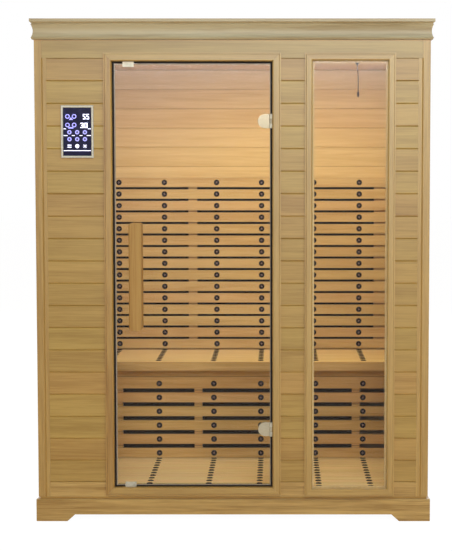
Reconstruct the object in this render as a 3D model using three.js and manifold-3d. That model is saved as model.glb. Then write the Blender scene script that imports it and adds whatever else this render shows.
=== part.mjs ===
// Infrared sauna cabin: a free-standing timber cabin with boarded walls, a glass door, a fixed window,
// slatted heater fences, a bench, a hanging temperature sensor and a control panel with push keys.
// Millimetres. X runs to the right seen from the front, Y from the front to the back, Z up.
// Depths are counted from the face of the front wall. The cabin group then moves them, so that the
// origin lies on the floor in the middle of the overall box.
import * as THREE from 'three';
import { mergeVertices } from 'three/addons/utils/BufferGeometryUtils.js';
import Module from 'manifold-3d';

const wasm = await Module();
wasm.setup();

// Cabin
const bodyWidth = 1484; // outside of the side walls
const bodyDepth = 1064; // face of the front wall to the face of the back wall
const overallHeight = 1900; // floor to the top of the crown
const wallThickness = 45;
const fitGap = 0.3; // clearance between neighbouring pieces
const cutReach = 1; // how far a cutter passes the faces it cuts
const weld = 1; // overlap of the bodies that are joined into one piece
const mergeTolerance = 1e-4;

// Base
const plinthHeight = 84;
const plinthThickness = 20;
const plinthOverhang = 8;
const plinthChamfer = 4;
const archHeight = 26;
const footLength = 118;
const footSlope = 29;
const shadowGapHeight = 9;
const shadowGapDepth = 5;
const floorPanelThickness = 27;
const joistWidth = 60;
const joistInset = 150;
const deckThickness = 25;
const deckPitch = 51;

// Boarding
const boardPitch = 84.5;
const grooveWidth = 5;
const grooveDepth = 2.5;
const bottomRailHeight = 56;
const topRailLeast = 60;
const ceilingThickness = 54;

// Front wall
const postWidth = 45;
const postHeadWidth = 29;
const leftPanelWidth = 213;
const middlePanelWidth = 89;
const rightPanelWidth = 84.5;
const doorCasingWidth = 32;
const windowCasingWidth = 29;
const casingProud = 12;
const casingEdge = 7;
const casingBevel = 4;
const doorOpeningWidth = 602;
const doorSillHeight = 129.5; // floor to the foot of the door opening
const windowSillHeight = 124; // floor to the foot of the window opening
const doorHeadDrop = 12; // top of the boards down to the head of the door opening

// Roof and crown
const crownHeight = 77;
const crownOverhang = 15;
const crownSeat = 30;
const crownFillet = 11;
const crownBevel = 6;
const crownStep = 8;
const coveLip = 10;
const coveRise = 4;
const coveSag = 7;
const coveSteps = 8;
const beadHeight = 6;
const beadSetback = 3;
const roofThickness = 18;
const powerBoxSize = { width: 260, depth: 170, height: 42 };
const powerBoxLid = { height: 12, lip: 3 };
const powerBoxInset = { side: 210, back: 150 };

// Glass
const glassThickness = 8;
const doorGlassDepth = 4; // wall face back to the front of the door glass
const doorGlassGap = 8; // edge of the door glass to the opening
const windowGlassDepth = 4;
const paneLap = 9;
const paneBeadWidth = 16;
const paneBeadDepth = 14;
const sealLap = 2;
const sealDepth = 6;
const sealGap = 0.5;

// Door hinges
const hingeHeight = 53;
const hingeAxisInset = 6; // axis to the hinge-side jamb
const hingeAxisProud = 6; // axis out from the wall face
const hingeFromTop = 215; // top of the glass to the middle of the upper hinge
const hingeFromBottom = 215.5;
const knuckleRadius = 5.5;
const pinRadius = 2.5;
const pinClearance = 0.08;
const runningGap = 0.4; // between the faces of neighbouring knuckles
const barrelHeight = 18;
const leafThickness = 3;
const leafDepth = 16;
const clampLength = 44;
const clampThickness = 4;
const clampSetback = 3;
const bossRadius = 5;
const bossSpacing = 26;
const bossClearance = 0.6;
const hingeSides = 24;
const clampSteps = 14;

// Door handles and strike plates
const handleWidth = 47;
const handleLength = 405;
const handleThickness = 18;
const handleStandOff = 22;
const handleMiddleHeight = 934.5;
const handleFromEdge = 78; // edge of the glass to the middle of the handle
const handleCornerRadius = 9;
const handleBevelWidth = 15;
const handleBevelDepth = 5;
const handleEdge = 3;
const handleFootSize = { width: 30, height: 40 };
const handleFootSpacing = 290;
const studRadius = 4;
const studClearance = 0.6;
const strikeWidth = 42;
const strikeHeight = 20;
const strikeThickness = 3;
const strikeFromEdge = 54;
const strikeClearance = 1;

// Bench
const benchHeight = 537;
const benchDepth = 449;
const seatThickness = 20;
const seatPitch = 51;
const fasciaHeight = 34;
const fasciaThickness = 18;
const cleatHeight = 30;
const cleatWidth = 22;
const sideGap = 2; // bench and fences to the side walls

// Slatted fences
const slatHeight = 41;
const slatThickness = 12;
const fenceBattenDepth = 13;
const backSlatGap = 10;
const backSlatCount = 15;
const backFenceLift = 5;
const backBattenCentre = 205;
const backBattenWidth = 37;
const backEndBattenWidth = 99;
const kickSetback = 94;
const kickSlatGap = 18;
const kickSlatCount = 6;
const kickLift = 2;
const kickBattenDepth = 20;
const kickBattenCentres = [165, 500];
const kickBattenWidth = 33;
const kickRailSetback = 1;

// Heaters
const backHeaterThickness = 10;
const heaterEdgeGap = 1;
const calfHeaterThickness = 9;
const calfHeaterHalfWidth = 520;
const calfHeaterEdge = 14;

// Temperature sensor
const sensorFromWall = 207;
const sensorDepth = 440;
const glandRadius = 8;
const glandHeight = 12;
const leadDiameter = 3.5;
const leadSides = 8;
const leadSteps = 12;
const leadRoute = [
  [0, 0, 0],
  [0.4, 0, -9],
  [1.6, 0, -20],
  [3, 0, -34],
  [3.6, 0, -50],
  [3.8, 0, -70],
  [3.8, 0, -90],
  [3.8, 0, -107],
];
const probeRadius = 4;
const probeLength = 21;

// Control panel
const controlWidth = 122;
const controlHeight = 196;
const controlMiddleHeight = 1480;
const controlFromCasing = 37;
const bezelWidth = 8;
const bezelProud = 9;
const bezelBevel = 2;
const fasciaProud = 5;
const keyRadius = 8.5;
const keyClearance = 0.4;
const keyProud = 1.2;
const keyTravel = 1;
const keySides = 24;
const keyColumnPitch = 29;
const keyRowPitch = 26;
const keyBottomRow = 54; // middle of the panel down to the lowest row
const keyColumns = 3;
const keyRows = 3;

// Heights that follow from the driving dimensions
const floorPanelTop = plinthHeight + shadowGapHeight;
const deckTop = floorPanelTop + deckThickness;
const wallBottom = floorPanelTop + fitGap;
const wallTop = overallHeight - crownHeight;
const bottomRailTop = floorPanelTop + bottomRailHeight;
const boardCount = Math.floor((wallTop - topRailLeast - bottomRailTop) / boardPitch);
const boardsTop = bottomRailTop + boardCount * boardPitch;
const doorTop = boardsTop - doorHeadDrop;
const windowTop = boardsTop - paneLap;
const ceilingHeight = wallTop - ceilingThickness;

// Positions across the front that follow from the driving dimensions
const bodyHalf = bodyWidth / 2;
const innerHalf = bodyHalf - wallThickness;
const postInner = bodyHalf - postWidth;
const postHeadInner = bodyHalf - postHeadWidth;
const doorLeft = -postInner + leftPanelWidth + doorCasingWidth;
const doorRight = doorLeft + doorOpeningWidth;
const windowLeft = doorRight + doorCasingWidth + middlePanelWidth + windowCasingWidth;
const windowRight = postInner - rightPanelWidth - windowCasingWidth;
const sensorX = innerHalf - sensorFromWall;

// Depths that follow from the driving dimensions
const innerFront = wallThickness;
const innerBack = bodyDepth - wallThickness;
const backFenceFront = innerBack - fenceBattenDepth - slatThickness;
const benchFront = backFenceFront - benchDepth;
const seatBottom = benchHeight - seatThickness;
const kickFront = benchFront + kickSetback;
const handleFront = doorGlassDepth - handleStandOff - handleThickness;
const depthMiddle = (bodyDepth + handleFront) / 2;

// Colours taken by eye from the photograph
const finishes = {
  exteriorWood: { color: 0xb1925f, roughness: 0.55, metalness: 0 },
  trimWood: { color: 0xbfa172, roughness: 0.5, metalness: 0 },
  interiorWood: { color: 0xd4a86e, roughness: 0.6, metalness: 0 },
  glass: { color: 0xdfe8e4, roughness: 0.05, metalness: 0, transparent: true, opacity: 0.3 },
  rubber: { color: 0x1e1814, roughness: 0.8, metalness: 0 },
  steel: { color: 0xb9b7ae, roughness: 0.3, metalness: 1 },
  heater: { color: 0x1b1a18, roughness: 0.7, metalness: 0 },
  calfHeater: { color: 0x463c32, roughness: 0.7, metalness: 0 },
  paintedSteel: { color: 0x8d9094, roughness: 0.45, metalness: 0.6 },
  silver: { color: 0xd6d3c8, roughness: 0.35, metalness: 0.8 },
  blackGloss: { color: 0x0b0b12, roughness: 0.15, metalness: 0 },
  key: { color: 0x2c2a55, roughness: 0.3, metalness: 0 },
  cable: { color: 0x2a2622, roughness: 0.6, metalness: 0 },
};

// Scene graph helpers

function addPiece(group, name, finish, geometry, position = [0, 0, 0]) {
  const mesh = new THREE.Mesh(geometry, new THREE.MeshStandardMaterial(finishes[finish]));
  mesh.name = name;
  mesh.position.set(...position);
  group.add(mesh);
  return mesh;
}

function addGroup(parent, position = [0, 0, 0]) {
  const group = new THREE.Group();
  group.position.set(...position);
  parent.add(group);
  return group;
}

// Joining and cutting

function toSolid(geometry) {
  const plain = geometry.clone();
  plain.deleteAttribute('normal');
  plain.deleteAttribute('uv');
  const merged = mergeVertices(plain, mergeTolerance);
  const vertProperties = new Float32Array(merged.attributes.position.array);
  const triVerts = new Uint32Array(merged.index.array);
  return new wasm.Manifold(new wasm.Mesh({ numProp: 3, vertProperties, triVerts }));
}

function toGeometry(solid) {
  const mesh = solid.getMesh();
  const geometry = new THREE.BufferGeometry();
  geometry.setAttribute('position', new THREE.BufferAttribute(new Float32Array(mesh.vertProperties), 3));
  geometry.setIndex(new THREE.BufferAttribute(new Uint32Array(mesh.triVerts), 1));
  geometry.computeVertexNormals();
  return geometry;
}

function join(geometries) {
  return toGeometry(geometries.map(toSolid).reduce((whole, piece) => whole.add(piece)));
}

function cut(geometry, tools) {
  return toGeometry(tools.map(toSolid).reduce((whole, tool) => whole.subtract(tool), toSolid(geometry)));
}

function common(first, second) {
  return toGeometry(toSolid(first).intersect(toSolid(second)));
}

// Basic forms

function boxBetween([x0, x1], [y0, y1], [z0, z1]) {
  const geometry = new THREE.BoxGeometry(x1 - x0, y1 - y0, z1 - z0);
  geometry.translate((x0 + x1) / 2, (y0 + y1) / 2, (z0 + z1) / 2);
  return geometry;
}

// Outline coordinates are (y, z) along x, (x, z) along y and (x, y) along z.
const extrusionFrames = {
  x: new THREE.Matrix4().makeBasis(
    new THREE.Vector3(0, 1, 0),
    new THREE.Vector3(0, 0, 1),
    new THREE.Vector3(1, 0, 0),
  ),
  y: new THREE.Matrix4().makeBasis(
    new THREE.Vector3(0, 0, 1),
    new THREE.Vector3(1, 0, 0),
    new THREE.Vector3(0, 1, 0),
  ),
  z: new THREE.Matrix4(),
};

function extrudeAlong(axis, outline, [from, to]) {
  const toPoint = ([first, second]) =>
    axis === 'y' ? new THREE.Vector2(second, first) : new THREE.Vector2(first, second);
  const shape = new THREE.Shape(outline.map(toPoint));
  const geometry = new THREE.ExtrudeGeometry(shape, { depth: to - from, bevelEnabled: false });
  geometry.translate(0, 0, from);
  geometry.applyMatrix4(extrusionFrames[axis]);
  return geometry;
}

function arcPoints([centreU, centreV], radius, fromDegrees, toDegrees, steps) {
  const points = [];
  for (let step = 0; step <= steps; step += 1) {
    const angle = THREE.MathUtils.degToRad(fromDegrees + ((toDegrees - fromDegrees) * step) / steps);
    points.push([centreU + radius * Math.cos(angle), centreV + radius * Math.sin(angle)]);
  }
  return points;
}

function circlePoints(centre, radius, sides) {
  return arcPoints(centre, radius, 0, 360, sides).slice(0, sides);
}

function rectanglePoints([u0, u1], [v0, v1]) {
  return [[u0, v0], [u1, v0], [u1, v1], [u0, v1]];
}

function roundedRectangle(halfU, halfV, radius) {
  const u = halfU - radius;
  const v = halfV - radius;
  const cornerSteps = 4;
  return [
    ...arcPoints([u, v], radius, 0, 90, cornerSteps),
    ...arcPoints([-u, v], radius, 90, 180, cornerSteps),
    ...arcPoints([-u, -v], radius, 180, 270, cornerSteps),
    ...arcPoints([u, -v], radius, 270, 360, cornerSteps),
  ];
}

function upright(radius, [z0, z1], sides) {
  return extrudeAlong('z', circlePoints([0, 0], radius, sides), [z0, z1]);
}

// A sheet standing across the depth, pierced by holes.
function piercedSheet(outline, [front, back], holes) {
  const tools = holes.map((hole) => extrudeAlong('y', hole, [front - cutReach, back + cutReach]));
  return cut(extrudeAlong('y', outline, [front, back]), tools);
}

// Levels between two limits, a pitch apart, starting from one joint and going up or down.
function jointLevels(firstJoint, pitch, [low, high]) {
  const margin = grooveWidth;
  const first = Math.ceil((low + margin - firstJoint) / pitch);
  const last = Math.floor((high - margin - firstJoint) / pitch);
  const levels = [];
  for (let index = first; index <= last; index += 1) {
    levels.push(firstJoint + index * pitch);
  }
  return levels;
}

// Section of a boarded panel as (depth from the outer face, position along the boards' stack),
// with a V groove at every joint. The face edges can carry half a groove where the panel meets a rail.
function boardedSection(thickness, [low, high], outerJoints, innerJoints, halfGrooves = false) {
  const reach = grooveWidth / 2;
  const edge = halfGrooves ? grooveDepth : 0;
  const rise = halfGrooves ? reach : 0;
  const points = [[edge, low], [thickness, low]];
  for (const level of innerJoints) {
    points.push([thickness, level - reach], [thickness - grooveDepth, level], [thickness, level + reach]);
  }
  points.push([thickness, high], [edge, high]);
  if (halfGrooves) {
    points.push([0, high - rise]);
  }
  for (const level of [...outerJoints].reverse()) {
    points.push([0, level + reach], [grooveDepth, level], [0, level - reach]);
  }
  if (halfGrooves) {
    points.push([0, low + rise]);
  }
  return points;
}

// A bar of constant section, cut at its ends. The section is (across, proud) and each end is shifted
// along the bar by a function of the distance across, which makes a mitre.
function mitredBar(section, length, startShift, endShift, origin, acrossAxis, proudAxis) {
  const shape = new THREE.Shape(section.map(([across, proud]) => new THREE.Vector2(across, proud)));
  const geometry = new THREE.ExtrudeGeometry(shape, { depth: length, bevelEnabled: false });
  const position = geometry.attributes.position;
  for (let index = 0; index < position.count; index += 1) {
    const across = position.getX(index);
    const along = position.getZ(index);
    const shift = along < length / 2 ? startShift(across) : endShift(across);
    position.setZ(index, along + shift);
  }
  const alongAxis = new THREE.Vector3().crossVectors(acrossAxis, proudAxis);
  const frame = new THREE.Matrix4().makeBasis(acrossAxis, proudAxis, alongAxis);
  geometry.applyMatrix4(frame.setPosition(...origin));
  return geometry;
}

// A mitred frame in one piece. The section is (distance in from the outer edge, proud of the back).
function mitredFrame(section, [x0, x1], [z0, z1], backDepth) {
  const corners = ([inset, proud]) => [
    [x0 + inset, backDepth - proud, z0 + inset],
    [x1 - inset, backDepth - proud, z0 + inset],
    [x1 - inset, backDepth - proud, z1 - inset],
    [x0 + inset, backDepth - proud, z1 - inset],
  ];
  const vertices = section.flatMap(corners);
  const indices = [];
  for (let row = 0; row < section.length; row += 1) {
    const nextRow = (row + 1) % section.length;
    for (let corner = 0; corner < 4; corner += 1) {
      const nextCorner = (corner + 1) % 4;
      const a = row * 4 + corner;
      const b = row * 4 + nextCorner;
      const c = nextRow * 4 + nextCorner;
      const d = nextRow * 4 + corner;
      indices.push(a, c, b, a, d, c);
    }
  }
  const geometry = new THREE.BufferGeometry();
  geometry.setAttribute('position', new THREE.Float32BufferAttribute(vertices.flat(), 3));
  geometry.setIndex(indices);
  geometry.computeVertexNormals();
  return geometry;
}

// Base: plinth boards on bracket feet, the floor panel on its joists and the slatted deck

function plinthOutline(from, to) {
  return [
    [from, 0],
    [from + footLength, 0],
    [from + footLength + footSlope, archHeight],
    [to - footLength - footSlope, archHeight],
    [to - footLength, 0],
    [to, 0],
    [to, plinthHeight],
    [from, plinthHeight],
  ];
}

// Outline that cuts the top edge off a board whose face is at zero and whose thickness runs inward.
function plinthEdgeCutter(inward) {
  return [
    [-inward * cutReach, plinthHeight - plinthChamfer - cutReach],
    [-inward * cutReach, plinthHeight + cutReach],
    [inward * (plinthChamfer + cutReach), plinthHeight + cutReach],
  ];
}

function buildBase(cabin) {
  const base = addGroup(cabin);
  const outer = bodyHalf + plinthOverhang;
  const inner = outer - plinthThickness;
  const frontBack = plinthThickness - plinthOverhang;

  const frontBoard = extrudeAlong('y', plinthOutline(-outer, outer), [-plinthOverhang, frontBack]);
  const frontCutter = extrudeAlong('x', plinthEdgeCutter(1), [-outer - cutReach, outer + cutReach]);
  frontCutter.translate(0, -plinthOverhang, 0);
  addPiece(base, 'plinth_front', 'exteriorWood', cut(frontBoard, [frontCutter]));

  const sideRange = [frontBack + fitGap, bodyDepth];
  for (const [name, side] of [['plinth_left', -1], ['plinth_right', 1]]) {
    const faces = [side * inner, side * outer].sort((a, b) => a - b);
    const board = extrudeAlong('x', plinthOutline(...sideRange), faces);
    const cutterRange = [sideRange[0] - cutReach, sideRange[1] + cutReach];
    const cutter = extrudeAlong('y', plinthEdgeCutter(-side), cutterRange);
    cutter.translate(side * outer, 0, 0);
    addPiece(base, name, 'exteriorWood', cut(board, [cutter]));
  }

  const panelBottom = floorPanelTop - floorPanelThickness;
  const sheetHalf = inner - fitGap;
  const sheetFront = frontBack + fitGap;
  const rimHalf = bodyHalf - shadowGapDepth;
  const rimBack = bodyDepth - shadowGapDepth;
  const joistReach = sheetHalf - joistWidth;
  const joistMiddles = [joistInset, (joistInset + rimBack - joistWidth) / 2, rimBack - joistWidth];
  const pieces = [
    boxBetween([-sheetHalf, sheetHalf], [sheetFront, rimBack], [panelBottom, floorPanelTop]),
    boxBetween([-rimHalf, rimHalf], [shadowGapDepth, rimBack], [plinthHeight + fitGap, floorPanelTop]),
  ];
  for (const middle of joistMiddles) {
    const across = [middle - joistWidth / 2, middle + joistWidth / 2];
    pieces.push(boxBetween([-joistReach, joistReach], across, [0, panelBottom + weld]));
  }
  addPiece(base, 'floor_panel', 'exteriorWood', join(pieces));

  const deckRange = [innerFront + sideGap, innerBack - sideGap];
  const deckJoints = jointLevels(innerBack, deckPitch, deckRange);
  const deckSection = boardedSection(deckThickness - fitGap, deckRange, deckJoints, []);
  const deckOutline = deckSection.map(([depth, along]) => [along, deckTop - depth]);
  const deckHalf = innerHalf - sideGap;
  addPiece(base, 'floor_deck', 'interiorWood', extrudeAlong('x', deckOutline, [-deckHalf, deckHalf]));
}

// Walls: sandwich panels boarded on both faces

const outerJoints = (low, high) => jointLevels(bottomRailTop, boardPitch, [low, high]);
const innerJoints = (low, high) => jointLevels(ceilingHeight, boardPitch, [low, high]);

function buildWalls(cabin) {
  const walls = addGroup(cabin);
  const wallRange = [wallBottom, wallTop];
  const joints = [outerJoints(...wallRange), innerJoints(...wallRange)];
  const section = boardedSection(wallThickness, wallRange, ...joints);

  for (const [name, side] of [['left_wall_panel', -1], ['right_wall_panel', 1]]) {
    const outline = section.map(([depth, along]) => [side * (bodyHalf - depth), along]);
    const panel = extrudeAlong('y', outline, [innerFront + fitGap, innerBack - fitGap]);
    addPiece(walls, name, 'exteriorWood', panel);
  }

  const backOutline = section.map(([depth, along]) => [bodyDepth - depth, along]);
  addPiece(walls, 'back_wall_panel', 'interiorWood', extrudeAlong('x', backOutline, [-bodyHalf, bodyHalf]));
}

// Front wall: corner posts, rails and three boarded panels round the two openings

const windowHole = {
  x: [windowLeft - paneLap - fitGap, windowRight + paneLap + fitGap],
  z: [windowSillHeight - paneLap - fitGap, windowTop + paneLap + fitGap],
};

function buildFrontWall(cabin) {
  const frontWall = addGroup(cabin);
  const depthRange = [0, wallThickness];

  for (const [name, side] of [['corner_post_left', -1], ['corner_post_right', 1]]) {
    const outline = [
      [bodyHalf, wallBottom],
      [postInner, wallBottom],
      [postInner, boardsTop],
      [postHeadInner, boardsTop],
      [postHeadInner, wallTop],
      [bodyHalf, wallTop],
    ].map(([x, z]) => [side * x, z]);
    const reach = grooveWidth / 2;
    const mouth = reach * (1 + cutReach / grooveDepth);
    const groove = [
      [postHeadInner - mouth, -cutReach],
      [postHeadInner + mouth, -cutReach],
      [postHeadInner, grooveDepth],
    ];
    const grooveOutline = groove.map(([x, y]) => [side * x, y]);
    const grooveCutter = extrudeAlong('z', grooveOutline, [wallBottom - cutReach, boardsTop]);
    addPiece(frontWall, name, 'exteriorWood', cut(extrudeAlong('y', outline, depthRange), [grooveCutter]));
  }

  const headEnd = postHeadInner - fitGap;
  const railBottom = boardsTop + fitGap;
  const topRail = [
    [-headEnd, railBottom],
    [doorLeft + fitGap, railBottom],
    [doorLeft + fitGap, doorTop],
    [doorRight - fitGap, doorTop],
    [doorRight - fitGap, railBottom],
    [headEnd, railBottom],
    [headEnd, wallTop],
    [-headEnd, wallTop],
  ];
  addPiece(frontWall, 'front_top_rail', 'exteriorWood', extrudeAlong('y', topRail, depthRange));

  const railEnd = postInner - fitGap;
  const bottomRail = [
    [-railEnd, wallBottom],
    [railEnd, wallBottom],
    [railEnd, bottomRailTop],
    [windowHole.x[1], bottomRailTop],
    [windowHole.x[1], windowHole.z[0]],
    [windowHole.x[0], windowHole.z[0]],
    [windowHole.x[0], bottomRailTop],
    [doorRight, bottomRailTop],
    [doorRight, doorSillHeight],
    [doorLeft, doorSillHeight],
    [doorLeft, bottomRailTop],
    [-railEnd, bottomRailTop],
  ];
  addPiece(frontWall, 'front_bottom_rail', 'exteriorWood', extrudeAlong('y', bottomRail, depthRange));

  const panelRange = [bottomRailTop + fitGap, boardsTop];
  const joints = [outerJoints(...panelRange), innerJoints(...panelRange)];
  const panelOutline = boardedSection(wallThickness, panelRange, ...joints, true);
  const panels = {
    front_panel_left: [-railEnd, doorLeft],
    front_panel_middle: [doorRight, windowHole.x[0]],
    front_panel_right: [windowHole.x[1], railEnd],
  };
  for (const [name, range] of Object.entries(panels)) {
    addPiece(frontWall, name, 'exteriorWood', extrudeAlong('x', panelOutline, range));
  }
}

// Casings: mitred mouldings round the door and the window

const casingSection = (width) => [
  [0, 0],
  [width, 0],
  [width, casingProud - casingBevel],
  [width - casingBevel, casingProud],
  [casingEdge, casingProud],
  [casingEdge - casingBevel / 2, casingProud - casingBevel],
  [0, casingProud - casingBevel],
];

function buildCasings(cabin) {
  const casings = addGroup(cabin, [0, -fitGap, 0]);
  const left = doorLeft - doorCasingWidth;
  const right = doorRight + doorCasingWidth;
  const bottom = doorSillHeight - doorCasingWidth;
  const top = doorTop + doorCasingWidth;
  const doorSection = casingSection(doorCasingWidth);
  const forward = new THREE.Vector3(0, -1, 0);
  const sides = {
    door_casing_left: [[left, 0, top], new THREE.Vector3(1, 0, 0), top - bottom],
    door_casing_right: [[right, 0, bottom], new THREE.Vector3(-1, 0, 0), top - bottom],
    door_casing_top: [[right, 0, top], new THREE.Vector3(0, 0, -1), right - left],
    door_casing_bottom: [[left, 0, bottom], new THREE.Vector3(0, 0, 1), right - left],
  };
  const startMitre = (across) => across + fitGap;
  const endMitre = (across) => -across - fitGap;
  for (const [name, [origin, inward, length]] of Object.entries(sides)) {
    const bar = mitredBar(doorSection, length, startMitre, endMitre, origin, inward, forward);
    addPiece(casings, name, 'trimWood', bar);
  }
  const windowX = [windowLeft - windowCasingWidth, windowRight + windowCasingWidth];
  const windowZ = [windowSillHeight - windowCasingWidth, windowTop + windowCasingWidth];
  const windowFrame = mitredFrame(casingSection(windowCasingWidth), windowX, windowZ, 0);
  addPiece(casings, 'window_casing', 'trimWood', windowFrame);
}

// Window: a fixed pane behind its casing, held by a bead from inside

function buildWindow(cabin) {
  const window = addGroup(cabin);
  const paneX = [windowLeft - paneLap, windowRight + paneLap];
  const paneZ = [windowSillHeight - paneLap, windowTop + paneLap];
  const paneY = [windowGlassDepth, windowGlassDepth + glassThickness];
  addPiece(window, 'window_glass', 'glass', boxBetween(paneX, paneY, paneZ));
  const beadBack = paneY[1] + fitGap + paneBeadDepth;
  const beadSection = [
    [0, 0],
    [paneBeadWidth - paneBeadDepth / 2, 0],
    [paneBeadWidth, paneBeadDepth / 2],
    [paneBeadWidth, paneBeadDepth],
    [0, paneBeadDepth],
  ];
  addPiece(window, 'window_bead', 'interiorWood', mitredFrame(beadSection, paneX, paneZ, beadBack));
}

// Door: the group's origin is on the hinge axis at floor level

const hingeX = doorRight - hingeAxisInset;
const hingeY = -hingeAxisProud;
const glassLeft = doorLeft + doorGlassGap - hingeX;
const glassRight = doorRight - doorGlassGap - hingeX;
const glassBottom = doorSillHeight + doorGlassGap;
const glassTop = doorTop - doorGlassGap;
const glassFront = doorGlassDepth - hingeY;
const glassBack = glassFront + glassThickness;
const hingeHeights = { bottom: glassBottom + hingeFromBottom, top: glassTop - hingeFromTop };
const clampRight = glassRight - clampSetback;
const clampRound = clampRight - clampLength + hingeHeight / 2;
const handleX = glassLeft + handleFromEdge;
const handleFeet = [-handleFootSpacing / 2, handleFootSpacing / 2];

function clampOutline(right) {
  const roundEnd = arcPoints([clampRound, 0], hingeHeight / 2, 90, 270, clampSteps);
  return [...roundEnd, [right, -hingeHeight / 2], [right, hingeHeight / 2]];
}

function hingeClamp() {
  const plateFront = glassFront - fitGap - clampThickness;
  const plateBack = glassBack + fitGap;
  const barrelHalf = barrelHeight / 2;
  const neckLeft = clampRight - knuckleRadius;
  const pieces = [
    extrudeAlong('y', clampOutline(clampRight), [plateFront, plateFront + clampThickness]),
    extrudeAlong('y', clampOutline(clampRight), [plateBack, plateBack + clampThickness]),
    upright(knuckleRadius, [-barrelHalf, barrelHalf], hingeSides),
    boxBetween([neckLeft, -pinRadius], [0, plateFront + clampThickness], [-barrelHalf, barrelHalf]),
  ];
  for (const height of [-bossSpacing / 2, bossSpacing / 2]) {
    const outline = circlePoints([clampRound, height], bossRadius, hingeSides);
    pieces.push(extrudeAlong('y', outline, [plateFront + weld, plateBack + weld]));
  }
  const boreRange = [-barrelHalf - cutReach, barrelHalf + cutReach];
  const bore = upright(pinRadius + pinClearance, boreRange, hingeSides);
  return cut(join(pieces), [bore]);
}

function hingeBracket() {
  const halfHeight = hingeHeight / 2;
  const barrelHalf = barrelHeight / 2 + runningGap;
  const leaf = [hingeAxisInset - fitGap - leafThickness, hingeAxisInset - fitGap];
  const pieces = [
    upright(pinRadius, [-halfHeight, halfHeight], hingeSides),
    boxBetween(leaf, [knuckleRadius + runningGap, leafDepth], [-halfHeight, halfHeight]),
  ];
  for (const range of [[-halfHeight, -barrelHalf], [barrelHalf, halfHeight]]) {
    pieces.push(upright(knuckleRadius, range, hingeSides));
    pieces.push(boxBetween(leaf, [0, knuckleRadius + runningGap + weld], range));
  }
  return join(pieces);
}

// A wooden pull in its own frame: the glass face is at y = 0 and the plank stands off towards -y.
function handlePull() {
  const halfWidth = handleWidth / 2;
  const front = -handleStandOff - handleThickness;
  const section = [
    [-halfWidth, -handleStandOff],
    [-halfWidth, front + handleEdge],
    [-halfWidth + handleEdge, front],
    [halfWidth - handleBevelWidth, front],
    [halfWidth, front + handleBevelDepth],
    [halfWidth, -handleStandOff],
  ];
  const bar = extrudeAlong('z', section, [-handleLength / 2, handleLength / 2]);
  const face = roundedRectangle(halfWidth, handleLength / 2, handleCornerRadius);
  const plank = common(bar, extrudeAlong('y', face, [front - cutReach, cutReach]));
  const feet = handleFeet.map((height) => {
    const x = [-handleFootSize.width / 2, handleFootSize.width / 2];
    const z = [height - handleFootSize.height / 2, height + handleFootSize.height / 2];
    return boxBetween(x, [-handleStandOff - weld, -fitGap], z);
  });
  return join([plank, ...feet]);
}

function buildDoor(cabin) {
  const door = addGroup(cabin, [hingeX, hingeY, 0]);

  const holes = [];
  for (const middle of Object.values(hingeHeights)) {
    for (const height of [-bossSpacing / 2, bossSpacing / 2]) {
      holes.push(circlePoints([clampRound, middle + height], bossRadius + bossClearance, hingeSides));
    }
  }
  for (const height of handleFeet) {
    holes.push(circlePoints([handleX, handleMiddleHeight + height], studRadius + studClearance, hingeSides));
  }
  const pane = rectanglePoints([glassLeft, glassRight], [glassBottom, glassTop]);
  addPiece(door, 'door_glass', 'glass', piercedSheet(pane, [glassFront, glassBack], holes));

  for (const [place, height] of Object.entries(hingeHeights)) {
    addPiece(door, `hinge_clamp_${place}`, 'steel', hingeClamp(), [0, 0, height]);
    const bracketPlace = [hingeX, hingeY, height];
    addPiece(cabin, `hinge_bracket_${place}`, 'steel', hingeBracket(), bracketPlace);
  }

  const pull = handlePull();
  const studs = handleFeet.map((height) => {
    const outline = circlePoints([0, height], studRadius, hingeSides);
    return extrudeAlong('y', outline, [-handleStandOff / 2, glassThickness]);
  });
  const outerPlace = [handleX, glassFront, handleMiddleHeight];
  const innerPlace = [handleX, glassBack, handleMiddleHeight];
  addPiece(door, 'handle_outer', 'trimWood', join([pull, ...studs]), outerPlace);
  const innerPull = addPiece(door, 'handle_inner', 'trimWood', pull, innerPlace);
  innerPull.rotation.z = Math.PI;

  const strikeMiddle = glassLeft + strikeFromEdge;
  const strikeX = [strikeMiddle - strikeWidth / 2, strikeMiddle + strikeWidth / 2];
  const strikeY = [glassFront - fitGap - strikeThickness, glassFront - fitGap];
  const strikes = {
    strike_plate_top: [doorTop - strikeClearance - strikeHeight, doorTop - strikeClearance],
    strike_plate_bottom: [doorSillHeight + strikeClearance, doorSillHeight + strikeClearance + strikeHeight],
  };
  for (const [name, strikeZ] of Object.entries(strikes)) {
    addPiece(door, name, 'steel', boxBetween(strikeX, strikeY, strikeZ));
  }

  const sealReach = doorGlassGap + sealLap - fitGap;
  const sealSection = [[0, 0], [sealReach, 0], [sealReach, sealDepth], [0, sealDepth]];
  const sealBack = doorGlassDepth + glassThickness + sealGap + sealDepth;
  const sealX = [doorLeft + fitGap, doorRight - fitGap];
  const sealZ = [doorSillHeight + fitGap, doorTop - fitGap];
  addPiece(cabin, 'door_seal', 'rubber', mitredFrame(sealSection, sealX, sealZ, sealBack));
}

// Roof: the ceiling hangs from the roof sheet, inside the walls, and the crown runs round three sides

function crownSection() {
  const height = overallHeight - wallTop - fitGap;
  const coveTop = height - crownFillet - crownBevel - coveRise;
  const bead = coveLip - beadSetback;
  const points = [[-crownSeat, 0], [bead, 0]];
  for (let step = 0; step <= coveSteps; step += 1) {
    const share = step / coveSteps;
    const sag = coveSag * 4 * share * (1 - share);
    points.push([coveLip - sag, beadHeight + (coveTop - beadHeight) * share]);
  }
  points.push([crownOverhang - crownStep, height - crownFillet - crownBevel]);
  points.push([crownOverhang, height - crownFillet]);
  points.push([crownOverhang, height], [-crownSeat, height]);
  return points;
}

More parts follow.
